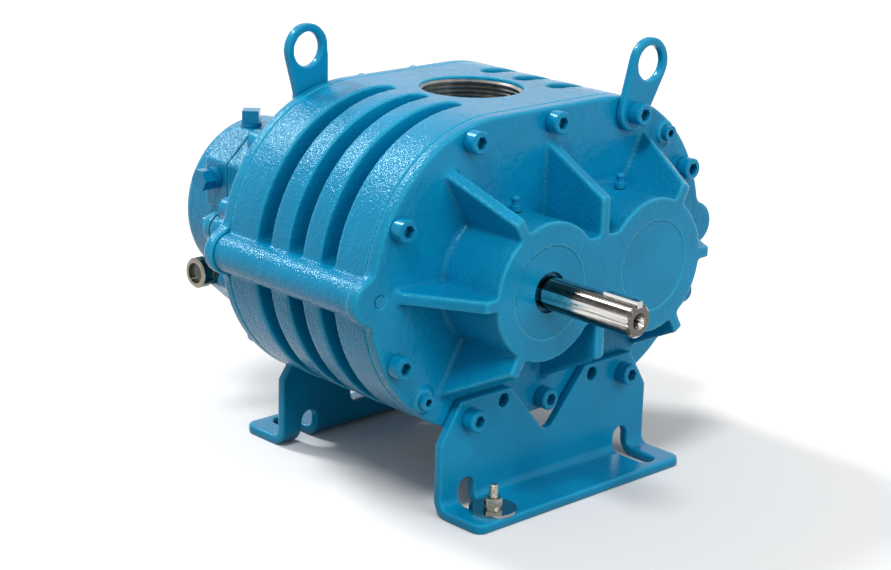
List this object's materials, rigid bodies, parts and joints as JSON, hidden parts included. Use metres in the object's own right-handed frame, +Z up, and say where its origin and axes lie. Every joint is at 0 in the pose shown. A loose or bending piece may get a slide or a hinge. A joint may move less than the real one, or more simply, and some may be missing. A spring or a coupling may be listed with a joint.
{
  "type": "roots vacuum pump",
  "caption": "Foot-mounted roots vacuum pump with a grooved casing, ribbed drive end plate, keyed drive shaft, twin-domed gear cover and lifting lugs.",
  "frame": {"origin": "centre of the box round the pump, on the plane its feet stand on", "axes": "+Z up, +Y along the shafts from the drive end to the gear end, +X across from the drive shaft towards the driven shaft"},
  "size_m": [0.347, 0.3954, 0.3094],
  "materials": {
    "painted_iron": "gloss blue enamel over cast iron",
    "painted_steel": "gloss blue enamel over steel",
    "ground_steel": "turned and ground",
    "cast_iron": "machined",
    "zinc": "zinc plated",
    "plate_metal": "satin",
    "seal_rubber": "matt",
    "gasket": "matt",
    "lens": "clear"
  },
  "bodies": {
    "casing": {"cylinder_housing": "painted_iron", "drive_end_plate": "painted_iron", "gear_end_plate": "painted_iron", "gear_cover": "painted_iron", "drive_foot": "painted_steel", "gear_foot": "painted_steel", "drive_end_lug": "painted_steel", "gear_end_lug": "painted_steel", "drive_plate_screws": "painted_steel", "gear_plate_screws": "painted_steel", "lug_screws": "painted_steel", "foot_screws": "painted_steel", "cover_screws": "painted_steel", "jack_screws": "painted_steel", "dowel_pins": "painted_steel", "top_oil_plug": "painted_steel", "side_oil_plug": "painted_steel", "drain_plug": "painted_steel", "grease_fittings": "painted_steel", "drive_seal_carrier": "painted_steel", "driven_bore_plug": "painted_steel", "bearing_outer_rings": "ground_steel", "bearing_rollers": "ground_steel", "bearing_circlips": "ground_steel", "anchor_washers": "zinc", "anchor_lock_washers": "zinc", "anchor_nuts": "zinc", "anchor_studs": "zinc", "vent_cap": "zinc", "sight_glass_body": "zinc", "rating_plate": "plate_metal", "plate_rivets": "plate_metal", "chamber_seals": "seal_rubber", "drive_shaft_seal": "seal_rubber", "case_gasket": "gasket", "sight_glass_lens": "lens"},
    "drive_rotor_set": {"drive_shaft": "ground_steel", "drive_rotor": "cast_iron", "drive_gear": "ground_steel", "drive_gear_key": "ground_steel", "drive_key": "ground_steel", "drive_gear_spacer": "ground_steel", "drive_gear_washer": "ground_steel", "drive_gear_nut": "ground_steel", "drive_shaft_inner_rings": "ground_steel"},
    "driven_rotor_set": {"driven_shaft": "ground_steel", "driven_rotor": "cast_iron", "driven_gear": "ground_steel", "driven_gear_key": "ground_steel", "driven_gear_spacer": "ground_steel", "driven_gear_washer": "ground_steel", "driven_gear_nut": "ground_steel", "driven_shaft_inner_rings": "ground_steel"}
  },
  "joints": [
    {"name": "drive_shaft_spin", "type": "hinge", "parent": "casing", "child": "drive_rotor_set", "pos_m": [-0.0508, 0.01195, 0.161], "axis": [0, 1, 0], "continuous": true},
    {"name": "driven_shaft_spin", "type": "hinge", "parent": "casing", "child": "driven_rotor_set", "pos_m": [0.0508, 0.01195, 0.161], "axis": [0, 1, 0], "continuous": true}
  ],
  "couplings": [
    {"joint": "driven_shaft_spin", "follows": "drive_shaft_spin", "ratio": -1}
  ]
}
